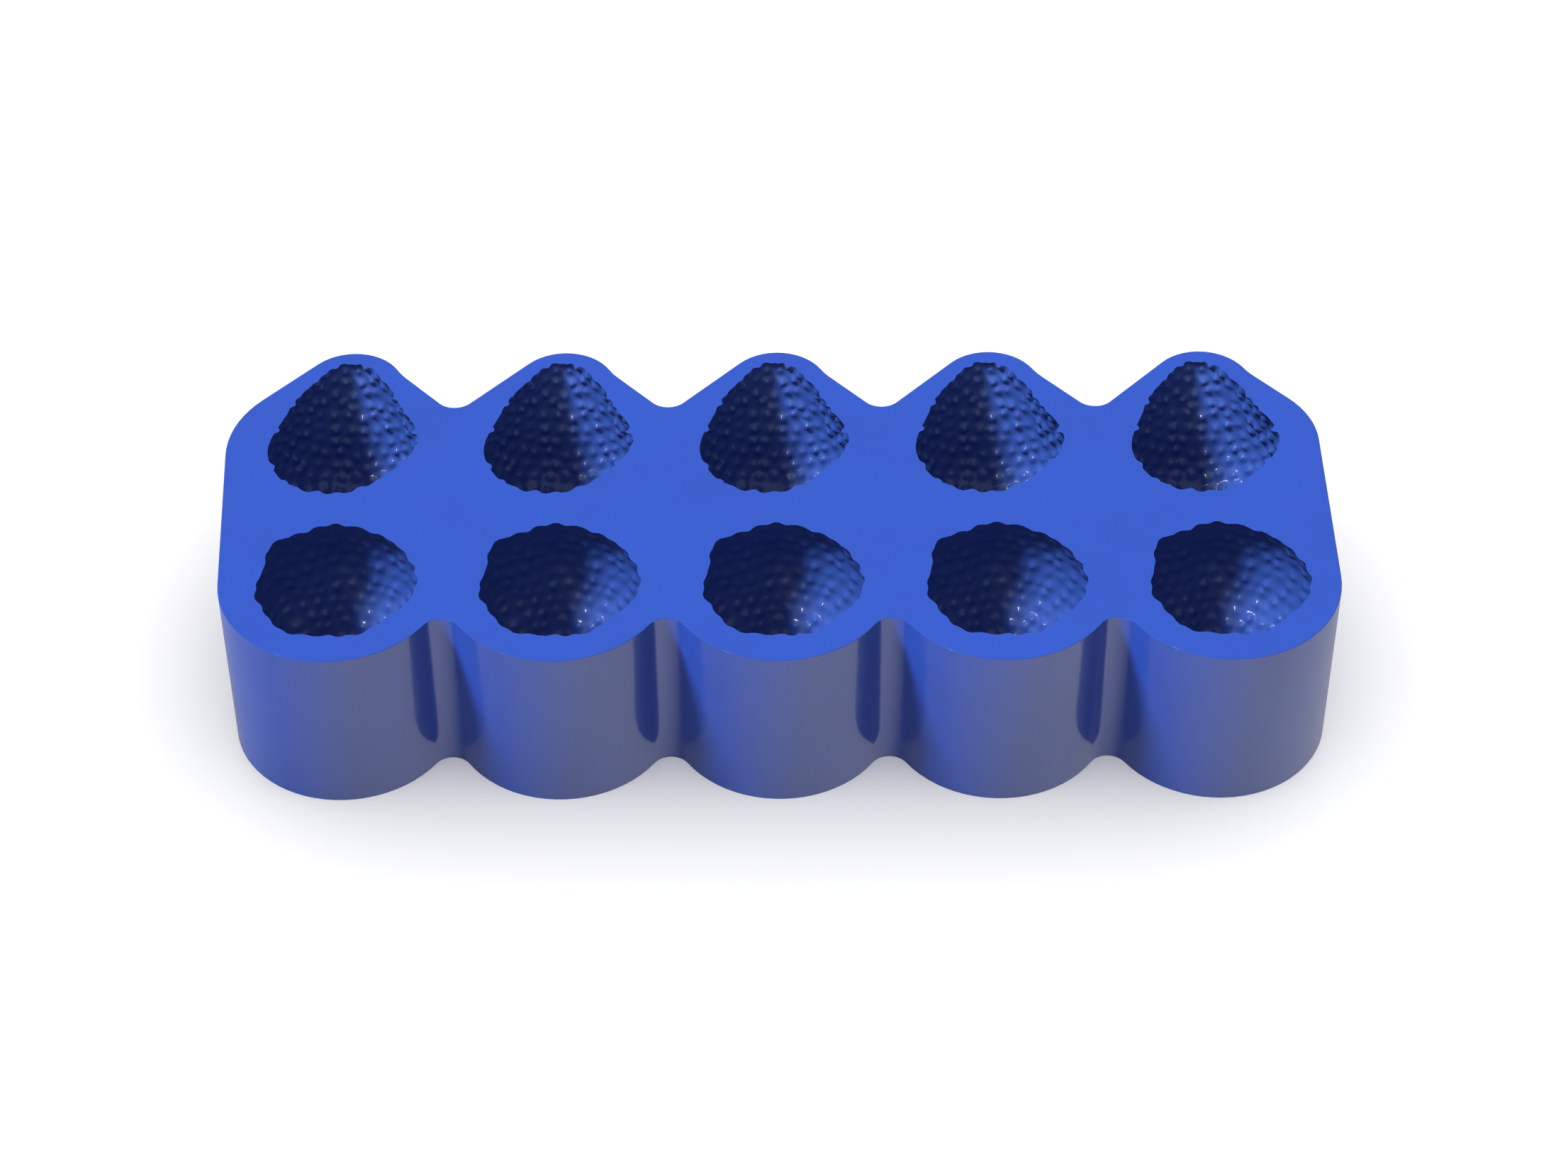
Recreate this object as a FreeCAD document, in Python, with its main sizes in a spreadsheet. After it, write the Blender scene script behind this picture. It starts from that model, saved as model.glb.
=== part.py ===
import FreeCAD, Part
import os
from math import asin, atan2, cos, pi, radians, sin

import Sketcher
from FreeCAD import Placement, Rotation, Vector

# A cast silicone mould for ten whole strawberries: five stand point down in the front row,
# five lie on their flank in the back row. The block is one piece. Its wall follows the berries,
# so the front is a row of round lobes and the back a row of blunt points. Nubs all over the cavities
# press the seeds' pits into the castings.
# Frame: +X along the rows, +Y from the front row to the back row, +Z up,
# origin in the middle of the base.

os.makedirs("parts", exist_ok=True)
doc = FreeCAD.newDocument("strawberry_mould")

# driving sizes in millimetres and degrees
sizes = {
    "lobe_count": 5,
    "pitch": 42.0,
    # the berry: a round shoulder, a straight taper and a round tip on one axis
    "shoulder_radius": 17.7,
    "tip_radius": 5.4,
    "core_length": 19.8,
    # how deep the middle of the shoulder lies under the top face, and how far the lying berry
    # is tipped up at its point
    "standing_depth": 9.3,
    "lying_depth": 10.8,
    "lying_tilt": 29.0,
    "lying_shift": -1.0,
    # the relief on the berry: nubs in rows round its axis, each row half a space on from the last
    "nubs_round": 21,
    "nub_rows": 17,
    "nub_rise": 0.9,
    # walls between the two rows of berries and outside them
    "row_wall": 3.1,
    "front_wall": 3.9,
    "point_wall": 2.9,
    "floor_wall": 3.4,
    # the outline
    "front_notch_radius": 3.9,
    "point_radius": 10.1,
    "point_shift": -0.5,
    "flank_angle": 46.5,
    "flank_step": 0.6,
    "hollow_radius": 12.6,
    "notch_radius": 4.1,
    "left_corner_radius": 21.2,
    "right_corner_radius": 17.7,
    "left_slant": 3.3,
    "right_slant": 0.7,
}

sheet = doc.addObject("Spreadsheet::Sheet", "sizes")
for row, (name, value) in enumerate(sizes.items(), start=1):
    sheet.set(f"A{row}", name)
    sheet.set(f"B{row}", str(value))
    sheet.setAlias(f"B{row}", name)

# sizes that follow from the driving ones, with the formula kept in the sheet
derived = {
    "row_spacing": "=2 * shoulder_radius + row_wall",
    "front_lobe_radius": "=shoulder_radius + front_wall",
    "block_height": "=standing_depth + core_length + tip_radius + floor_wall",
    "first_lobe": "=-(lobe_count - 1) * pitch / 2",
    "point_line": "=row_spacing + core_length * cos(lying_tilt * 1deg) + tip_radius + point_wall",
    "point_row": "=point_line - point_radius",
}
for row, (name, formula) in enumerate(derived.items(), start=len(sizes) + 1):
    sheet.set(f"A{row}", name)
    sheet.set(f"B{row}", formula)
    sheet.setAlias(f"B{row}", name)
doc.recompute()


def size(name):
    return float(sheet.get(name))


body = doc.addObject("PartDesign::Body", "plain_block")
origin = {feature.Role: feature for feature in body.Origin.OriginFeatures}


# The outline runs anticlockwise with the material on its left. Each piece is a rounded stretch
# (centre, radius, turn), where turn is 1 on a lobe and -1 in a hollow, or a straight run
# (a point on it, its direction).


def left_of(direction):
    return Vector(-sin(direction), cos(direction), 0)


def touch(stretch, direction):
    # where a line with that direction touches a rounded stretch
    centre, radius, turn = stretch
    return centre - left_of(direction) * (turn * radius)


def rounded(run_in, run_out, radius, turn):
    # rounded stretch that joins two straight runs
    n_in = left_of(run_in[1])
    n_out = left_of(run_out[1])
    k_in = run_in[0].dot(n_in) + turn * radius
    k_out = run_out[0].dot(n_out) + turn * radius
    cross = n_in.x * n_out.y - n_in.y * n_out.x
    x = (k_in * n_out.y - k_out * n_in.y) / cross
    y = (k_out * n_in.x - k_in * n_out.x) / cross
    return (Vector(x, y, 0), radius, turn)


count = int(size("lobe_count"))
pitch = size("pitch")
rising = pi - radians(size("flank_angle"))
falling = pi + radians(size("flank_angle"))
right_way = pi / 2 + radians(size("right_slant"))
left_way = 3 * pi / 2 + radians(size("left_slant"))
front_reach = size("front_lobe_radius") + size("front_notch_radius")
notch_back = (front_reach ** 2 - (pitch / 2) ** 2) ** 0.5
step = size("flank_step")
blend_reach = size("point_radius") + size("hollow_radius")
hollow_along = (2 * step * blend_reach - step ** 2) ** 0.5


def lobe_x(i):
    return size("first_lobe") + i * pitch


def front_lobe(i):
    return (Vector(lobe_x(i), 0, 0), size("front_lobe_radius"), 1)


def front_notch(i):
    return (Vector(lobe_x(i) + pitch / 2, -notch_back, 0), size("front_notch_radius"), -1)


def point(i):
    return (Vector(lobe_x(i) + size("point_shift"), size("point_row"), 0), size("point_radius"), 1)


def right_flank(i):
    # the right flank lies a step inside the round of the point
    foot = point(i)[0] - left_of(rising) * (size("point_radius") - step)
    return (foot, rising)


def left_flank(i):
    return (touch(point(i), falling), falling)


def hollow(i):
    # eases the step: it touches the right flank and the round of the point
    foot, direction = right_flank(i)
    back_along = Vector(cos(direction), sin(direction), 0) * -hollow_along
    centre = foot + back_along - left_of(direction) * size("hollow_radius")
    return (centre, size("hollow_radius"), -1)


def notch(i):
    # between the left flank of a lobe and the right flank of its left-hand neighbour
    return rounded(left_flank(i), right_flank(i - 1), size("notch_radius"), -1)


right_end = (touch(front_lobe(count - 1), right_way), right_way)
left_end = (touch(front_lobe(0), left_way), left_way)
right_corner = rounded(right_end, right_flank(count - 1), size("right_corner_radius"), 1)
left_corner = rounded(left_flank(0), left_end, size("left_corner_radius"), 1)

# (kind, lobe, rounded stretch or straight run) in running order
pieces = []
for i in range(count):
    pieces.append(("front_lobe", i, front_lobe(i)))
    if i < count - 1:
        pieces.append(("front_notch", i, front_notch(i)))
pieces.append(("right_end", 0, right_end))
pieces.append(("right_corner", 0, right_corner))
for i in reversed(range(count)):
    pieces.append(("right_flank", i, right_flank(i)))
    pieces.append(("hollow", i, hollow(i)))
    pieces.append(("point", i, point(i)))
    pieces.append(("left_flank", i, left_flank(i)))
    if i > 0:
        pieces.append(("notch", i, notch(i)))
pieces.append(("left_corner", 0, left_corner))
pieces.append(("left_end", 0, left_end))


def meeting(first, second):
    # the point where one piece runs smoothly into the next
    if len(first) == 2:
        return touch(second, first[1])
    if len(second) == 2:
        return touch(first, second[1])
    lead = second[0] - first[0]
    return first[0] + lead * (first[1] / lead.Length)


outline = body.newObject("Sketcher::SketchObject", "outline")
outline.AttachmentSupport = [(origin["XY_Plane"], "")]
outline.MapMode = "FlatFace"
ends = []
for i, (kind, lobe, piece) in enumerate(pieces):
    begin = meeting(pieces[i - 1][2], piece)
    end = meeting(piece, pieces[(i + 1) % len(pieces)][2])
    if len(piece) == 2:
        outline.addGeometry(Part.LineSegment(begin, end), False)
        ends.append((1, 2))
        continue
    centre, radius, turn = piece
    first, last = (begin, end) if turn > 0 else (end, begin)
    first_angle = atan2(first.y - centre.y, first.x - centre.x)
    last_angle = atan2(last.y - centre.y, last.x - centre.x)
    if last_angle < first_angle:
        last_angle += 2 * pi
    circle = Part.Circle(centre, Vector(0, 0, 1), radius)
    outline.addGeometry(Part.ArcOfCircle(circle, first_angle, last_angle), False)
    ends.append((1, 2) if turn > 0 else (2, 1))

for i in range(len(pieces)):
    following = (i + 1) % len(pieces)
    outline.addConstraint(Sketcher.Constraint("Tangent", i, ends[i][1], following, ends[following][0]))


def bind(constraint, formula):
    index = outline.addConstraint(constraint)
    outline.setExpression(f"Constraints[{index}]", formula)


slope = {
    "right_end": (right_way, "90deg + sizes.right_slant * 1deg"),
    "right_flank": (rising, "180deg - sizes.flank_angle * 1deg"),
    "left_flank": (falling - 2 * pi, "sizes.flank_angle * 1deg - 180deg"),
    "left_end": (left_way - 2 * pi, "sizes.left_slant * 1deg - 90deg"),
}
for i, (kind, lobe, piece) in enumerate(pieces):
    if kind in slope:
        bind(Sketcher.Constraint("Angle", i, slope[kind][0]), slope[kind][1])
    else:
        bind(Sketcher.Constraint("Radius", i, piece[1]), f"sizes.{kind}_radius")
    middle = f"sizes.first_lobe + {lobe} * sizes.pitch"
    if kind == "front_lobe":
        bind(Sketcher.Constraint("DistanceX", -1, 1, i, 3, piece[0].x), middle)
        outline.addConstraint(Sketcher.Constraint("PointOnObject", i, 3, -1))
    if kind == "point":
        bind(Sketcher.Constraint("DistanceX", -1, 1, i, 3, piece[0].x), f"{middle} + sizes.point_shift")
        bind(Sketcher.Constraint("DistanceY", -1, 1, i, 3, piece[0].y), "sizes.point_row")
        apart = size("point_radius") - step
        bind(Sketcher.Constraint("Distance", i, 3, i - 2, apart), "sizes.point_radius - sizes.flank_step")
doc.recompute()

block = body.newObject("PartDesign::Pad", "block")
block.Profile = outline
block.setExpression("Length", "sizes.block_height")
doc.recompute()


# The berry stands on its point, with the middle of its shoulder at the origin. Its skin is a grid of
# flat facets: every other corner is the foot of a dent, which is a nub on the cavity's wall.
shoulder_radius = size("shoulder_radius")
tip_radius = size("tip_radius")
core_length = size("core_length")
taper = asin((shoulder_radius - tip_radius) / core_length)
shoulder_run = shoulder_radius * (pi / 2 + taper)
taper_run = core_length * cos(taper)
tip_run = tip_radius * (pi / 2 - taper)


def on_profile(run):
    # distance from the axis, height and outward lean at a distance from the crown along the side
    if run < shoulder_run:
        lean = pi / 2 - run / shoulder_radius
        return (shoulder_radius * cos(lean), shoulder_radius * sin(lean), lean)
    run -= shoulder_run
    if run < taper_run:
        radius = shoulder_radius * cos(taper) - run * sin(taper)
        return (radius, -shoulder_radius * sin(taper) - run * cos(taper), -taper)
    lean = -taper - (run - taper_run) / tip_radius
    return (tip_radius * cos(lean), -core_length + tip_radius * sin(lean), lean)


def berry_ring(row, columns, gap):
    radius, height, lean = on_profile(row * gap)
    # nubs are lower near the ends of the axis, where they crowd together
    rise = min(size("nub_rise"), radius / 4)
    ring = []
    for column in range(columns):
        dent = rise if (row + column) % 2 == 0 else 0
        reach = radius - dent * cos(lean)
        angle = 2 * pi * column / columns
        ring.append(Vector(reach * cos(angle), reach * sin(angle), height - dent * sin(lean)))
    return ring


def berry_solid():
    columns = 2 * int(size("nubs_round"))
    rows = int(size("nub_rows"))
    gap = (shoulder_run + taper_run + tip_run) / (rows + 1)
    crown = Vector(0, 0, shoulder_radius)
    tip = Vector(0, 0, -core_length - tip_radius)
    rings = [berry_ring(row, columns, gap) for row in range(1, rows + 1)]
    facets = []
    for column in range(columns):
        after = (column + 1) % columns
        facets.append((crown, rings[0][column], rings[0][after]))
        facets.append((tip, rings[-1][after], rings[-1][column]))
        for row in range(rows - 1):
            a, b = rings[row][column], rings[row][after]
            c, d = rings[row + 1][column], rings[row + 1][after]
            # the fold joins the two corners that aren't dented, so that each nub is a pyramid
            if (row + column) % 2 == 1:
                facets.extend([(a, c, b), (c, d, b)])
            else:
                facets.extend([(a, c, d), (a, d, b)])
    return Part.Solid(Part.Shell([Part.Face(Part.makePolygon([p, q, r, p])) for p, q, r in facets]))


berry = berry_solid()
standing_at = Vector(0, 0, size("block_height") - size("standing_depth"))
lying_at = Vector(size("lying_shift"), size("row_spacing"), size("block_height") - size("lying_depth"))
tipped_up = Rotation(Vector(1, 0, 0), 90 + size("lying_tilt"))
berries = []
for i in range(count):
    along = Vector(lobe_x(i), 0, 0)
    for place in (Placement(along + standing_at, Rotation()), Placement(along + lying_at, tipped_up)):
        copy = berry.copy()
        copy.Placement = place
        berries.append(copy)

# the origin goes to the middle of the base
left_reach = left_corner[0].x - left_corner[1]
right_reach = front_lobe(count - 1)[0].x + size("front_lobe_radius")
front_edge = -size("front_lobe_radius")
middle_x = (left_reach + right_reach) / 2
middle_y = (front_edge + size("point_line")) / 2
to_middle = Placement(Vector(-middle_x, -middle_y, 0), Rotation())
body.Placement = to_middle

cores = doc.addObject("Part::Feature", "berries")
cores.Shape = Part.makeCompound(berries)
cores.Placement = to_middle
mould = doc.addObject("Part::Cut", "mould_block")
mould.Base = body
mould.Tool = cores
mould.Refine = False
doc.recompute()

for item in doc.Objects:
    for word in ("Invalid", "Error"):
        if word in item.State:
            raise RuntimeError(f"{item.Name} is {word}")
shape = mould.Shape
if shape.isNull() or not shape.isValid() or len(shape.Solids) != 1:
    raise RuntimeError("the block isn't one valid solid")
print("faces", len(shape.Faces), "volume", round(shape.Volume))
shape.exportStep(f"parts/{mould.Label}.step")
print(mould.Label, "middle", round(middle_x, 4), round(middle_y, 4), shape.optimalBoundingBox(False))
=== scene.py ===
import math
import random

import bmesh
import bpy
from mathutils import Matrix, Vector, noise
from mathutils.kdtree import KDTree


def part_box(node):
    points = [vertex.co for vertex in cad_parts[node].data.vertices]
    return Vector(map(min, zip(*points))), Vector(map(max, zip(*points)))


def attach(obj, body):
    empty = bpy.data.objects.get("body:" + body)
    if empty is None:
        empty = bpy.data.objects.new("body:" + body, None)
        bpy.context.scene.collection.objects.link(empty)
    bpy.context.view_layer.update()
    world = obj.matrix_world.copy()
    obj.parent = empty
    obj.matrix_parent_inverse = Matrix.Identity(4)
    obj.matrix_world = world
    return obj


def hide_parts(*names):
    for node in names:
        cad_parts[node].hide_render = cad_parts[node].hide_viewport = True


# A cast silicone mould for ten whole strawberries, on a white table.
# Every length is in metres unless its name says mm or deg.

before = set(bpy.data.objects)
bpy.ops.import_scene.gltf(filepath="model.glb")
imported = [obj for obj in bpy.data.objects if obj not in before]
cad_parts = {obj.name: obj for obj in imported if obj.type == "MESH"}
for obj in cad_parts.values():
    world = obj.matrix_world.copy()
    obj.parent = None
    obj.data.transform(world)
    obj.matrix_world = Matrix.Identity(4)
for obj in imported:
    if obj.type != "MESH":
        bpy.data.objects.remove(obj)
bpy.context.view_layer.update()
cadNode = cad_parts["mould_block"]
low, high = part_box("mould_block")
topHeight = high.z
mm = 0.001
level = 0.001 * mm  # heights this near to each other are the same

print("camera")
camera = {
    "place": (0.00276, -0.54588, 0.55625),
    "lens_mm": 90.1,
    "sensor_mm": 36.0,
    "downDeg": 44.80,
    "leftDeg": 0.097,
    "rollDeg": -0.233,
}
cameraData = bpy.data.cameras.new("camera")
cameraData.lens = camera["lens_mm"]
cameraData.sensor_width = camera["sensor_mm"]
cameraData.sensor_fit = "HORIZONTAL"
cameraObject = bpy.data.objects.new("camera", cameraData)
bpy.context.collection.objects.link(cameraObject)
turn = Matrix.Rotation(math.radians(camera["leftDeg"]), 4, "Z")
tilt = Matrix.Rotation(math.radians(90 - camera["downDeg"]), 4, "X")
roll = Matrix.Rotation(math.radians(camera["rollDeg"]), 4, "Z")
cameraObject.matrix_world = Matrix.Translation(camera["place"]) @ turn @ tilt @ roll
bpy.context.scene.camera = cameraObject
bpy.context.scene.view_settings.view_transform = "Standard"


def newMaterial(name):
    material = bpy.data.materials.new(name)
    material.use_nodes = True
    nodes = material.node_tree.nodes
    return material, nodes, material.node_tree.links, nodes["Principled BSDF"]


print("silicone")
silicone = {
    "haze": 0.9,
    "hazeRoughness": 0.6,
    "mottleSize_mm": 14.0,
    "mottleDetail": 4,
    "mottleDepth": 0.05,
    "unevenGloss": 0.03,
    "grainSize_mm": 0.35,
    "grainDetail": 2,
    "grainHeight_mm": 0.012,
    "grainStrength": 0.5,
    "wall": {"colour": (0.022, 0.095, 0.64, 1), "roughness": 0.12, "ior": 1.80, "hazeIor": 1.50},
    # the skin of the cavities is a little duller than the walls and the top; its paler, greyer blue
    # is painted light, which lifts the shade inside the cavities towards grey
    "skin": {"colour": (0.046, 0.126, 0.59, 1), "roughness": 0.16, "ior": 1.50, "hazeIor": 2.00},
}


def castingGroup():
    # slow mottling of the pigment, with uneven gloss and a fine grain
    group = bpy.data.node_groups.new("casting", "ShaderNodeTree")
    for name, way, kind in (("Colour", "INPUT", "Color"), ("Roughness", "INPUT", "Float"),
                            ("Colour", "OUTPUT", "Color"), ("Roughness", "OUTPUT", "Float"),
                            ("Normal", "OUTPUT", "Vector")):
        group.interface.new_socket(name, in_out=way, socket_type=f"NodeSocket{kind}")
    nodes, links = group.nodes, group.links
    given, result = nodes.new("NodeGroupInput"), nodes.new("NodeGroupOutput")
    place = nodes.new("ShaderNodeTexCoord")

    mottle = nodes.new("ShaderNodeTexNoise")
    mottle.inputs["Scale"].default_value = 1000 / silicone["mottleSize_mm"]
    mottle.inputs["Detail"].default_value = silicone["mottleDetail"]
    links.new(place.outputs["Object"], mottle.inputs["Vector"])
    pigment = nodes.new("ShaderNodeMapRange")
    pigment.inputs["From Min"].default_value = 0.3
    pigment.inputs["From Max"].default_value = 0.7
    pigment.inputs["To Min"].default_value = 1 - silicone["mottleDepth"]
    pigment.inputs["To Max"].default_value = 1 + silicone["mottleDepth"]
    links.new(mottle.outputs["Fac"], pigment.inputs["Value"])
    mottled = nodes.new("ShaderNodeVectorMath")
    mottled.operation = "SCALE"
    links.new(given.outputs["Colour"], mottled.inputs[0])
    links.new(pigment.outputs["Result"], mottled.inputs["Scale"])
    links.new(mottled.outputs["Vector"], result.inputs["Colour"])

    gloss = nodes.new("ShaderNodeMapRange")
    gloss.inputs["To Min"].default_value = -silicone["unevenGloss"]
    gloss.inputs["To Max"].default_value = silicone["unevenGloss"]
    links.new(mottle.outputs["Fac"], gloss.inputs["Value"])
    uneven = nodes.new("ShaderNodeMath")
    links.new(given.outputs["Roughness"], uneven.inputs[0])
    links.new(gloss.outputs["Result"], uneven.inputs[1])
    links.new(uneven.outputs["Value"], result.inputs["Roughness"])

    grain = nodes.new("ShaderNodeTexNoise")
    grain.inputs["Scale"].default_value = 1000 / silicone["grainSize_mm"]
    grain.inputs["Detail"].default_value = silicone["grainDetail"]
    links.new(place.outputs["Object"], grain.inputs["Vector"])
    bump = nodes.new("ShaderNodeBump")
    bump.inputs["Distance"].default_value = silicone["grainHeight_mm"] * mm
    bump.inputs["Strength"].default_value = silicone["grainStrength"]
    links.new(grain.outputs["Fac"], bump.inputs["Height"])
    links.new(bump.outputs["Normal"], result.inputs["Normal"])
    return group


def siliconeMaterial(name, finish, casting):
    material, nodes, links, surface = newMaterial(name)
    surface.inputs["IOR"].default_value = finish["ior"]
    surface.inputs["Coat Weight"].default_value = silicone["haze"]
    surface.inputs["Coat IOR"].default_value = finish["hazeIor"]
    surface.inputs["Coat Roughness"].default_value = silicone["hazeRoughness"]
    cast = nodes.new("ShaderNodeGroup")
    cast.node_tree = casting
    cast.inputs["Colour"].default_value = finish["colour"]
    cast.inputs["Roughness"].default_value = finish["roughness"]
    links.new(cast.outputs["Colour"], surface.inputs["Base Color"])
    links.new(cast.outputs["Roughness"], surface.inputs["Roughness"])
    links.new(cast.outputs["Normal"], surface.inputs["Normal"])
    return material


print("berries")
berry = {
    "shoulderRadius": 17.7 * mm,
    "tipRadius": 5.4 * mm,
    "coreLength": 19.8 * mm,
    # nubs stand wider apart on the shoulder, and the change is between these runs from the crown
    "shoulderSpacing": 4.1 * mm,
    "taperSpacing": 2.9 * mm,
    "spreadFrom": 18.0 * mm,
    "spreadTo": 34.0 * mm,
    "scatter": 0.2,
    "ringScatter": 0.3,
    "leastNub": 0.5,
    "mostNub": 1.4,
    "nubReach": 0.44,
    "pinch": 0.3,
    "swellSize": 8.0 * mm,
    "swellRise": 0.45 * mm,
}
taper = math.asin((berry["shoulderRadius"] - berry["tipRadius"]) / berry["coreLength"])


def onProfile(run):
    # distance from the axis and height of the smooth berry, at a run from the crown along its side
    shoulder, tip, length = berry["shoulderRadius"], berry["tipRadius"], berry["coreLength"]
    shoulderRun = shoulder * (math.pi / 2 + taper)
    taperRun = length * math.cos(taper)
    if run < shoulderRun:
        lean = math.pi / 2 - run / shoulder
        return shoulder * math.cos(lean), shoulder * math.sin(lean)
    run -= shoulderRun
    if run < taperRun:
        out = shoulder * math.cos(taper) - run * math.sin(taper)
        return out, -shoulder * math.sin(taper) - run * math.cos(taper)
    lean = -taper - (run - taperRun) / tip
    return tip * math.cos(lean), -length + tip * math.sin(lean)


def toBerry(place):
    # the nearest place on the core's axis, the radius there and the way out
    out = math.hypot(place.x, place.y)
    foot = min(0.0, max(-berry["coreLength"], place.z + out * math.tan(taper)))
    narrowing = (berry["shoulderRadius"] - berry["tipRadius"]) / berry["coreLength"]
    radius = berry["shoulderRadius"] + narrowing * foot
    middle = Vector((0, 0, foot))
    return middle, radius, (place - middle).normalized()


def spacingAt(run):
    share = (run - berry["spreadFrom"]) / (berry["spreadTo"] - berry["spreadFrom"])
    change = berry["taperSpacing"] - berry["shoulderSpacing"]
    return berry["shoulderSpacing"] + change * min(1.0, max(0.0, share))


def berryForm(row):
    # a berry on its point, with its shoulder's middle at the origin and a dent for each nub
    rng = random.Random(row["seed"])
    form = bmesh.new()
    spacing = form.verts.layers.float.new("spacing")
    rowGap = math.sqrt(0.75)  # of the spacing, as nubs in a row stand between those of the last
    shortRun = berry["taperSpacing"] * 1.3  # no ring this near to the tip
    sideRun = (berry["shoulderRadius"] * (math.pi / 2 + taper)
               + berry["coreLength"] * math.cos(taper)
               + berry["tipRadius"] * (math.pi / 2 - taper))
    run, turns, lastRing = 0.0, 0, None
    while run < sideRun - shortRun:
        run += spacingAt(run) * rowGap
        turns += 1
        out, height = onProfile(run)
        around = max(5, round(2 * math.pi * out / spacingAt(run)))
        drift = rng.uniform(-berry["ringScatter"], berry["ringScatter"])
        start = math.pi / around * (turns % 2) + drift / around
        spot = Matrix.Translation((0, 0, height)) @ Matrix.Rotation(start, 4, "Z")
        ring = bmesh.ops.create_circle(form, segments=around, radius=out, matrix=spot)["verts"]
        edges = list({edge for vertex in ring for edge in vertex.link_edges})
        if lastRing:
            bmesh.ops.bridge_loops(form, edges=lastRing + edges)
        else:
            bmesh.ops.contextual_create(form, geom=ring)
        lastRing = edges
        for vertex in ring:
            vertex[spacing] = spacingAt(run)
    bmesh.ops.contextual_create(form, geom=ring)
    # the ends of the axis get a nub of their own
    for face in [face for face in form.faces if len(face.verts) > 4]:
        middle = bmesh.ops.poke(form, faces=[face])["verts"][0]
        middle[spacing] = berry["taperSpacing"]
    bmesh.ops.triangulate(form, faces=form.faces, quad_method="SHORT_EDGE")
    nubs = KDTree(len(form.verts))
    sizes, spaces = [], []
    for vertex in form.verts:
        shift = Vector((rng.uniform(-1, 1), rng.uniform(-1, 1), rng.uniform(-1, 1)))
        middle, radius, way = toBerry(vertex.co + shift * berry["scatter"] * vertex[spacing])
        vertex.co = middle + way * radius
        nubs.insert(vertex.co, len(sizes))
        sizes.append(rng.uniform(berry["leastNub"], berry["mostNub"]))
        spaces.append(vertex[spacing])
    nubs.balance()
    bmesh.ops.subdivide_edges(form, edges=form.edges, cuts=row["steps"] - 1, use_grid_fill=True)
    bmesh.ops.triangulate(form, faces=form.faces)
    for vertex in form.verts:
        middle, radius, way = toBerry(vertex.co)
        centre, index, distance = nubs.find(middle + way * radius)
        reach = spaces[index] * berry["nubReach"]
        # the mesh is drawn in towards each nub, to give it a rounder form
        near = max(0.0, 1 - (distance / reach) ** 2)
        middle, radius, way = toBerry(vertex.co.lerp(centre, berry["pinch"] * near))
        smooth = middle + way * radius
        onNub = min(1.0, (smooth - centre).length / reach)
        rise = (1 - onNub ** 2) ** 2 * row["nubRise"] * sizes[index]
        swell = noise.noise(smooth / berry["swellSize"] + Vector((row["seed"], 0, 0)))
        vertex.co = smooth + way * (swell * berry["swellRise"] - rise)
    return form


def cavityForm(form, row):
    # what is taken out of the block: a berry, cut at the top face and drawn on upwards
    form.transform(row["place"])
    for vertex in form.verts:
        away = Vector((vertex.co.x - row["middle"][0], vertex.co.y - row["middle"][1], 0))
        bearing = math.atan2(away.y, away.x)
        bulge = sum(size * math.cos(folds * bearing - first)
                    for folds, size, first in row["bulges"])
        vertex.co += away.normalized() * bulge * mm * min(1.0, away.length / row["reach"])
    bmesh.ops.bisect_plane(form, geom=[*form.verts, *form.edges, *form.faces], dist=rows["cutNear"],
                           plane_co=(0, 0, topHeight), plane_no=(0, 0, 1), clear_outer=True)
    mouth = [vertex for vertex in form.verts if vertex.co.z > topHeight - level]
    bmesh.ops.remove_doubles(form, verts=mouth, dist=rows["mouthWeld"])
    mouth = [edge for edge in form.edges if edge.is_boundary]
    risen = bmesh.ops.extrude_edge_only(form, edges=mouth)["geom"]
    lidCorners = [item for item in risen if isinstance(item, bmesh.types.BMVert)]
    lidEdges = [item for item in risen if isinstance(item, bmesh.types.BMEdge)]
    bmesh.ops.translate(form, verts=lidCorners, vec=(0, 0, rows["past"]))
    bmesh.ops.contextual_create(form, geom=lidEdges)
    bmesh.ops.recalc_face_normals(form, faces=form.faces)
    if not all(edge.is_manifold for edge in form.edges):
        raise RuntimeError("a cavity isn't closed")


print("block")
rows = {
    "pitch": 42.0 * mm,
    "count": 5,
    "middleLobe": (1.033 * mm, -21.2587 * mm),
    "rowSpacing": 38.5 * mm,
    "standingDepth": 9.3 * mm,
    "lyingDepth": 10.8 * mm,
    "lyingShift": -1.0 * mm,
    "lyingTilt": math.radians(29.0),
    "edgeRadius": 0.15 * mm,
    "edgeSteps": 3,
    # how far a cavity is drawn on past the top face, and how near its mouth's corners merge
    "past": 1.0 * mm,
    "mouthWeld": 0.12 * mm,
    "cutNear": 0.0001 * mm,
}
lobeX, lobeY = rows["middleLobe"]
lyingX, lyingY = lobeX + rows["lyingShift"], lobeY + rows["rowSpacing"]
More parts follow.
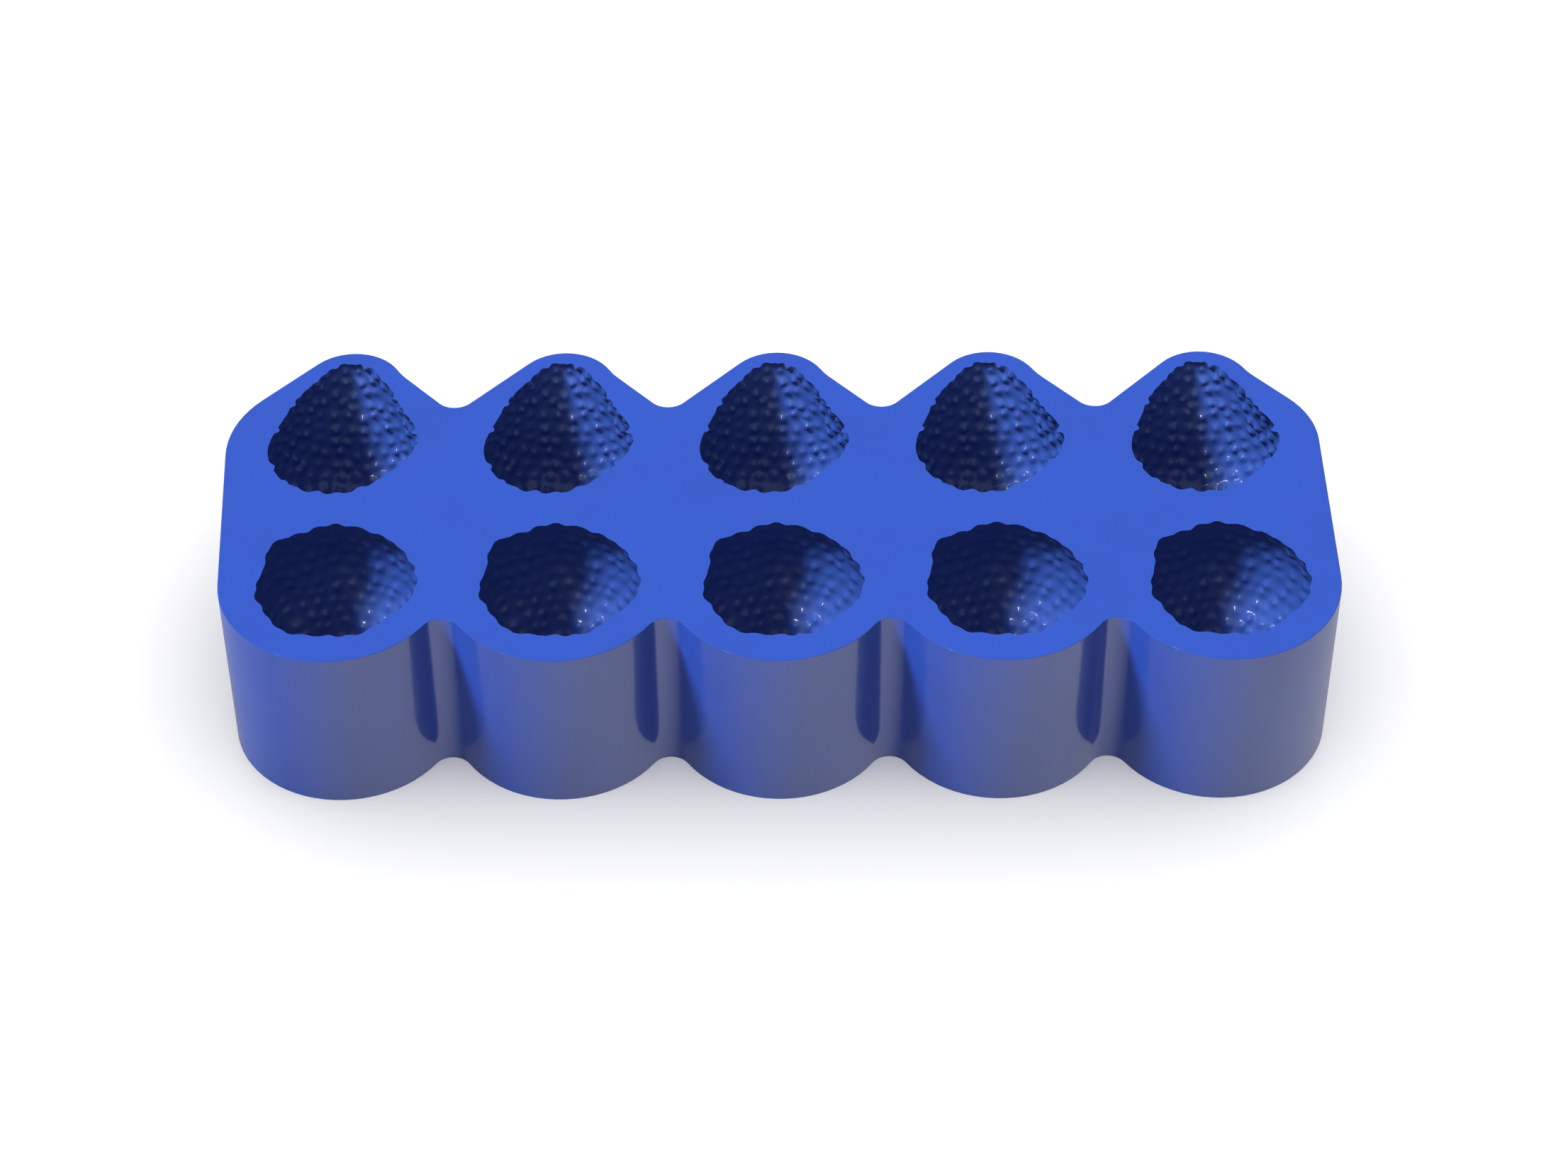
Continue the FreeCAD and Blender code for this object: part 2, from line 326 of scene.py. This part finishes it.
# the bulges go round the mouth in plan: how many, how far out in mm, and the first one's turn
standing = {
    "seed": 3,
    "steps": 5,
    "nubRise": 0.43 * mm,
    "place": Matrix.Translation((lobeX, lobeY, topHeight - rows["standingDepth"])),
    "middle": (lobeX, lobeY),
    "reach": 12.0 * mm,
    "bulges": [(1, 0.47, -0.93), (3, 0.46, -0.09), (5, 0.30, 0.0), (7, 0.30, -1.54),
               (8, 0.20, 1.52)],
}
lying = {
    "seed": 8,
    "steps": 5,
    "nubRise": 0.75 * mm,
    "place": Matrix.Translation((lyingX, lyingY, topHeight - rows["lyingDepth"]))
    @ Matrix.Rotation(math.pi / 2 + rows["lyingTilt"], 4, "X"),
    "middle": (lyingX - 0.3 * mm, lyingY + 2.3 * mm),
    "reach": 12.0 * mm,
    "bulges": [(0, 0.40, 0.0), (1, 0.39, -2.34), (2, 0.47, 2.17), (3, 0.53, -0.07),
               (5, 0.23, -0.82)],
}


def wallForm():
    # the base of the CAD block, drawn up to the top face, with a slightly rounded top edge
    block = bmesh.new()
    block.from_mesh(cadNode.data)
    bmesh.ops.remove_doubles(block, verts=block.verts, dist=level)
    above = [vertex for vertex in block.verts if vertex.co.z > low.z + level]
    bmesh.ops.delete(block, geom=above, context="VERTS")
    bmesh.ops.dissolve_faces(block, faces=block.faces)
    raised = bmesh.ops.extrude_face_region(block, geom=block.faces[:])["geom"]
    risen = [item for item in raised if isinstance(item, bmesh.types.BMVert)]
    bmesh.ops.translate(block, verts=risen, vec=(0, 0, topHeight - low.z))
    bmesh.ops.recalc_face_normals(block, faces=block.faces)
    rim = [edge for edge in block.edges
           if all(vertex.co.z > topHeight - level for vertex in edge.verts)]
    bmesh.ops.bevel(block, geom=rim, offset=rows["edgeRadius"], segments=rows["edgeSteps"],
                    profile=0.5, affect="EDGES", material=-1)
    # cut through the middle of each lobe, so that no face of the block goes round a mouth
    for lobe in range(rows["count"]):
        x = lobeX + (lobe - (rows["count"] - 1) / 2) * rows["pitch"]
        bmesh.ops.bisect_plane(block, geom=[*block.verts, *block.edges, *block.faces],
                               dist=rows["cutNear"], plane_co=(x, 0, 0), plane_no=(1, 0, 0))
    return block


def newPiece(name, form, materials):
    mesh = bpy.data.meshes.new(name)
    form.to_mesh(mesh)
    form.free()
    for material in materials:
        mesh.materials.append(material)
    piece = bpy.data.objects.new(name, mesh)
    bpy.context.collection.objects.link(piece)
    return piece


def cavityForms():
    # all ten cavities in one form, in the second material
    allForms = bmesh.new()
    halfRow = (rows["count"] - 1) / 2 * rows["pitch"]
    for row in (standing, lying):
        form = berryForm(row)
        cavityForm(form, row)
        mesh = bpy.data.meshes.new("cavity")
        bmesh.ops.translate(form, verts=form.verts, vec=(-halfRow, 0, 0))
        for _ in range(rows["count"]):
            form.to_mesh(mesh)
            allForms.from_mesh(mesh)
            bmesh.ops.translate(form, verts=form.verts, vec=(rows["pitch"], 0, 0))
        form.free()
        bpy.data.meshes.remove(mesh)
    for face in allForms.faces:
        face.material_index = 1
    return allForms


def mouldBlock():
    casting = castingGroup()
    wall = siliconeMaterial("silicone", silicone["wall"], casting)
    # the cavities get the skin, whose paler blue is painted light that lifts their shade
    skin = siliconeMaterial("silicone_skin", silicone["skin"], casting)
    piece = newPiece("silicone_block", wallForm(), [wall, skin])
    cavities = newPiece("cavities", cavityForms(), [wall, skin])
    carve = piece.modifiers.new("carve", "BOOLEAN")
    carve.operation = "DIFFERENCE"
    carve.solver = "MANIFOLD"
    carve.object = cavities
    finished = piece.evaluated_get(bpy.context.evaluated_depsgraph_get())
    carved = bpy.data.meshes.new_from_object(finished)
    if len(carved.polygons) == len(piece.data.polygons):
        raise RuntimeError("the cavities weren't cut")
    piece.modifiers.clear()
    bpy.data.objects.remove(cavities)
    block = bmesh.new()
    block.from_mesh(carved)
    bmesh.ops.triangulate(block, faces=block.faces)
    for face in block.faces:
        face.smooth = abs(face.normal.z) < 0.9999  # the top and the base stay flat
    loose = sum(not edge.is_manifold for edge in block.edges)
    inside = sum(face.material_index == 1 for face in block.faces)
    print("block faces", len(block.faces), "in the cavities", inside, "open edges", loose,
          "volume_mm3", round(block.calc_volume() * 1e9))
    block.to_mesh(piece.data)
    block.free()
    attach(piece, "root")
    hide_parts("mould_block")
    return piece


moulded = mouldBlock()

print("table")
table = {
    "size": 6.0,
    "colour": (0.96, 0.96, 0.96, 1),
    "bounce": (0.12, 0.12, 0.12, 1),
    # how much of the room shows through the floor in the silicone's gloss
    "thin": 0.57,
    "roughness": 0.9,
}
tableMaterial, nodes, links, surface = newMaterial("table")
path = nodes.new("ShaderNodeLightPath")
seen = nodes.new("ShaderNodeMath")
seen.operation = "MAXIMUM"
links.new(path.outputs["Is Camera Ray"], seen.inputs[0])
links.new(path.outputs["Is Glossy Ray"], seen.inputs[1])
shade = nodes.new("ShaderNodeMix")
shade.data_type = "RGBA"
shade.inputs["A"].default_value = table["bounce"]
shade.inputs["B"].default_value = table["colour"]
links.new(seen.outputs["Value"], shade.inputs["Factor"])
links.new(shade.outputs["Result"], surface.inputs["Base Color"])
thin = nodes.new("ShaderNodeMath")
thin.operation = "MULTIPLY"
thin.inputs[1].default_value = table["thin"]
links.new(path.outputs["Is Glossy Ray"], thin.inputs[0])
through = nodes.new("ShaderNodeMixShader")
links.new(thin.outputs["Value"], through.inputs["Fac"])
links.new(surface.outputs["BSDF"], through.inputs[1])
links.new(nodes.new("ShaderNodeBsdfTransparent").outputs["BSDF"], through.inputs[2])
links.new(through.outputs["Shader"], nodes["Material Output"].inputs["Surface"])
surface.inputs["Roughness"].default_value = table["roughness"]
surface.inputs["Specular IOR Level"].default_value = 0.0
floorMesh = bpy.data.meshes.new("table")
floor = bmesh.new()
bmesh.ops.create_grid(floor, x_segments=1, y_segments=1, size=table["size"] / 2)
floor.to_mesh(floorMesh)
floor.free()
floorMesh.materials.append(tableMaterial)
floorObject = bpy.data.objects.new("table", floorMesh)
bpy.context.collection.objects.link(floorObject)

print("light")
light = {
    "sky": 0.25,
    "key": 3.2,
    "keyWideDeg": 13.0,
    "keyUpDeg": 54.0,
    "keyFrontDeg": 6.5,
    "glint": 0.36,
    "glintWideDeg": 3.0,
    "glintUpDeg": 48.0,
    "glintFrontDeg": 35.0,
    "soft": 3.25,
    "softWideDeg": 150.0,
    # how bright the sky looks in the silicone's gloss
    "mirroredSky": 0.27,
    "mirroredTint": (0.75, 0.88, 1.0, 1),
    # how bright the room below the horizon looks there, and how much more to +X and to -Y
    "mirroredRoom": 0.24,
    "mirroredRight": 0.74,
    "mirroredFront": 0.64,
    "horizon": 0.05,
}


def sunLamp(name, power, wideDeg, toLamp, lit):
    # a lamp that lights one object only
    data = bpy.data.lights.new(name, "SUN")
    data.energy = power
    data.angle = math.radians(wideDeg)
    lamp = bpy.data.objects.new(name, data)
    bpy.context.collection.objects.link(lamp)
    lamp.rotation_euler = toLamp.to_track_quat("Z", "Y").to_euler()
    group = bpy.data.collections.new(f"lit_by_{name}")
    group.objects.link(lit)
    lamp.light_linking.receiver_collection = group
    return lamp


def fromLeft(upDeg, frontDeg):
    up, front = math.radians(upDeg), math.radians(frontDeg)
    return Vector((-math.cos(up) * math.cos(front), -math.cos(up) * math.sin(front), math.sin(up)))


toKey = fromLeft(light["keyUpDeg"], light["keyFrontDeg"])
key = sunLamp("key", light["key"], light["keyWideDeg"], toKey, moulded)
key.visible_glossy = False
toGlint = fromLeft(light["glintUpDeg"], light["glintFrontDeg"])
glint = sunLamp("glint", light["glint"], light["glintWideDeg"], toGlint, moulded)
glint.visible_diffuse = False
# neither is passed on from wall to wall in the cavities
key.data.cycles.max_bounces = 0
glint.data.cycles.max_bounces = 0
sunLamp("soft", light["soft"], light["softWideDeg"], Vector((0, 0, 1)), floorObject)

world = bpy.data.worlds.new("room")
world.use_nodes = True
bpy.context.scene.world = world
nodes, links = world.node_tree.nodes, world.node_tree.links
bearing = nodes.new("ShaderNodeTexCoord").outputs["Generated"]
across = nodes.new("ShaderNodeVectorMath")
across.operation = "DOT_PRODUCT"
across.inputs[1].default_value = (light["mirroredRight"], -light["mirroredFront"], 0)
links.new(bearing, across.inputs[0])
room = nodes.new("ShaderNodeMath")
room.use_clamp = True
room.inputs[1].default_value = light["mirroredRoom"]
links.new(across.outputs["Value"], room.inputs[0])
split = nodes.new("ShaderNodeSeparateXYZ")
links.new(bearing, split.inputs["Vector"])
below = nodes.new("ShaderNodeMapRange")
below.inputs["From Min"].default_value = light["horizon"]
below.inputs["From Max"].default_value = -light["horizon"]
links.new(split.outputs["Z"], below.inputs["Value"])
mirrored = nodes.new("ShaderNodeMix")
mirrored.data_type = "RGBA"
mirrored.inputs["A"].default_value = Vector(light["mirroredTint"]) * light["mirroredSky"]
links.new(below.outputs["Result"], mirrored.inputs["Factor"])
links.new(room.outputs["Value"], mirrored.inputs["B"])
shown = nodes.new("ShaderNodeMix")
shown.data_type = "RGBA"
shown.inputs["A"].default_value = (light["sky"], light["sky"], light["sky"], 1)
links.new(mirrored.outputs["Result"], shown.inputs["B"])
links.new(nodes.new("ShaderNodeLightPath").outputs["Is Glossy Ray"], shown.inputs["Factor"])
links.new(shown.outputs["Result"], nodes["Background"].inputs["Color"])
nodes["Background"].inputs["Strength"].default_value = 1
